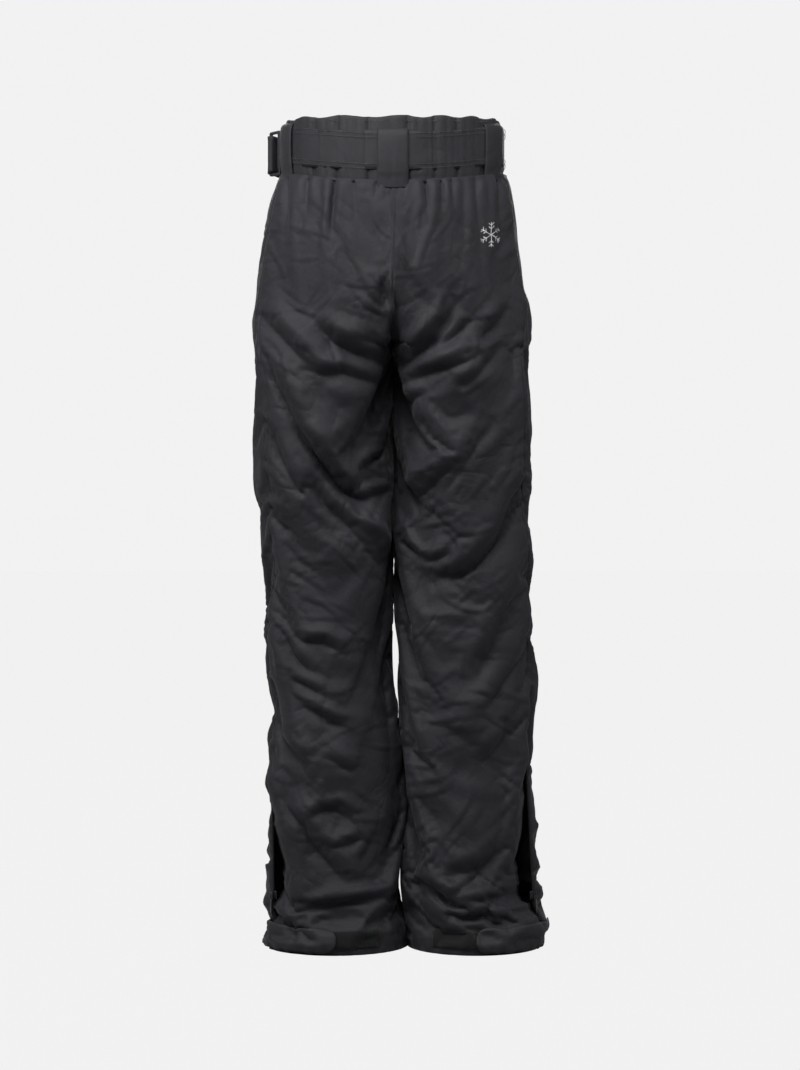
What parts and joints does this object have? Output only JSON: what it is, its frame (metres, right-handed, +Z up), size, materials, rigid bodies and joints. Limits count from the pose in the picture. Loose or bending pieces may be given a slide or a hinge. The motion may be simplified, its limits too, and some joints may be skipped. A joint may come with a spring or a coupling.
{
  "type": "ski trousers",
  "caption": "Insulated ski trousers, standing as worn, with a belted waist, zipped fly, pockets and ankles, and hook-and-loop hem tabs.",
  "frame": {"origin": "bottom centre: on the floor between the hems, under the middle of the garment's box", "axes": "+Z up the legs, +X the wearer's left, +Y the back, so the fly faces -Y"},
  "size_m": [0.3627, 0.2364, 1.0414],
  "materials": {
    "shell_cloth": "matte woven nylon",
    "waistband_cloth": "matte woven nylon",
    "lining": "smooth taffeta",
    "elastic": "ribbed elastic",
    "hook_and_loop": "napped",
    "zip_tape": "woven tape",
    "thread": "satin stitch",
    "moulded_plastic": "fine texture",
    "plated_metal": "black plated"
  },
  "bodies": {
    "garment": {"back_panel_left": "shell_cloth", "front_panel_left": "shell_cloth", "quilted_lining_back_left": "lining", "quilted_lining_front_left": "lining", "pocket_zip_tape_left": "zip_tape", "pocket_bag_left": "lining", "fly_zip_tape_left": "zip_tape", "ankle_zip_front_tape_left": "zip_tape", "ankle_zip_back_tape_left": "zip_tape", "hem_loop_strip_left": "hook_and_loop", "gaiter_left": "lining", "gaiter_elastic_left": "elastic", "boot_hook_left": "plated_metal", "back_panel_right": "shell_cloth", "front_panel_right": "shell_cloth", "quilted_lining_back_right": "lining", "quilted_lining_front_right": "lining", "pocket_zip_tape_right": "zip_tape", "pocket_bag_right": "lining", "fly_zip_tape_right": "zip_tape", "ankle_zip_front_tape_right": "zip_tape", "ankle_zip_back_tape_right": "zip_tape", "hem_loop_strip_right": "hook_and_loop", "gaiter_right": "lining", "gaiter_elastic_right": "elastic", "boot_hook_right": "plated_metal", "seat_motif": "thread", "waistband_back": "waistband_cloth", "waistband_front_left": "waistband_cloth", "waistband_front_right": "waistband_cloth", "waist_underlap": "waistband_cloth", "waist_snap_cap": "plated_metal", "waist_snap_stud": "plated_metal", "waist_elastic": "elastic", "waistband_facing": "lining", "belt_loop_back_centre": "shell_cloth", "belt_loop_back_left": "shell_cloth", "belt_loop_back_right": "shell_cloth", "belt_loop_front_left": "shell_cloth", "belt_loop_front_right": "shell_cloth", "belt": "shell_cloth", "belt_ring": "moulded_plastic", "fly_guard": "lining"},
    "fly_slider": {"fly_zip_slider": "plated_metal"},
    "fly_pull": {"fly_zip_pull": "moulded_plastic"},
    "belt_tab": {"belt_tab": "shell_cloth", "belt_hook_pad": "hook_and_loop"},
    "pocket_slider_left": {"pocket_zip_slider_left": "plated_metal"},
    "pocket_pull_left": {"pocket_zip_pull_left": "moulded_plastic"},
    "ankle_slider_left": {"ankle_zip_slider_left": "plated_metal"},
    "ankle_pull_left": {"ankle_zip_pull_left": "moulded_plastic"},
    "hem_tab_left": {"hem_tab_left": "shell_cloth", "hem_hook_pad_left": "hook_and_loop"},
    "pocket_slider_right": {"pocket_zip_slider_right": "plated_metal"},
    "pocket_pull_right": {"pocket_zip_pull_right": "moulded_plastic"},
    "ankle_slider_right": {"ankle_zip_slider_right": "plated_metal"},
    "ankle_pull_right": {"ankle_zip_pull_right": "moulded_plastic"},
    "hem_tab_right": {"hem_tab_right": "shell_cloth", "hem_hook_pad_right": "hook_and_loop"}
  },
  "joints": [
    {"name": "pocket_slider_slide_left", "type": "slide", "parent": "garment", "child": "pocket_slider_left", "axis": [0.2649, 0.1514, -0.9523], "range_m": [0, 0.116]},
    {"name": "pocket_pull_hinge_left", "type": "hinge", "parent": "pocket_slider_left", "child": "pocket_pull_left", "pos_m": [0.14082, -0.07896, 0.88966], "axis": [-0.6087, -0.7397, -0.2869], "range_deg": [0, 150]},
    {"name": "pocket_slider_slide_right", "type": "slide", "parent": "garment", "child": "pocket_slider_right", "axis": [-0.2649, 0.1514, -0.9523], "range_m": [0, 0.116]},
    {"name": "pocket_pull_hinge_right", "type": "hinge", "parent": "pocket_slider_right", "child": "pocket_pull_right", "pos_m": [-0.13742, -0.07896, 0.88966], "axis": [-0.6087, 0.7397, 0.2869], "range_deg": [0, 150]},
    {"name": "fly_slider_slide", "type": "slide", "parent": "garment", "child": "fly_slider", "axis": [0, 0, -1], "range_m": [0, 0.068]},
    {"name": "fly_pull_hinge", "type": "hinge", "parent": "fly_slider", "child": "fly_pull", "pos_m": [0.0017, -0.11205, 0.916], "axis": [-1, 0, 0], "range_deg": [0, 150]},
    {"name": "ankle_slider_slide_left", "type": "slide", "parent": "garment", "child": "ankle_slider_left", "axis": [0.0127, -0.0231, 0.9997], "range_m": [0, 0.15]},
    {"name": "ankle_pull_hinge_left", "type": "hinge", "parent": "ankle_slider_left", "child": "ankle_pull_left", "pos_m": [0.15359, 0.02751, 0.06407], "axis": [0.2075, -0.9781, -0.0183], "range_deg": [0, 150]},
    {"name": "ankle_slider_slide_right", "type": "slide", "parent": "garment", "child": "ankle_slider_right", "axis": [0.0539, -0.023, 0.9983], "range_m": [0, 0.15]},
    {"name": "ankle_pull_hinge_right", "type": "hinge", "parent": "ankle_slider_right", "child": "ankle_pull_right", "pos_m": [-0.17592, 0.02751, 0.06407], "axis": [0.2087, 0.9778, 0.0183], "range_deg": [0, 150]},
    {"name": "hem_tab_hinge_left", "type": "hinge", "parent": "garment", "child": "hem_tab_left", "pos_m": [0.15434, 0.00045, 0.01903], "axis": [0, 0, -1], "range_deg": [0, 110]},
    {"name": "hem_tab_hinge_right", "type": "hinge", "parent": "garment", "child": "hem_tab_right", "pos_m": [-0.17967, 0.00045, 0.01903], "axis": [0, 0, 1], "range_deg": [0, 110]},
    {"name": "belt_tab_hinge", "type": "hinge", "parent": "garment", "child": "belt_tab", "pos_m": [0.15614, -0.0253, 0.99398], "axis": [0, 0, 1], "range_deg": [0, 100]}
  ]
}
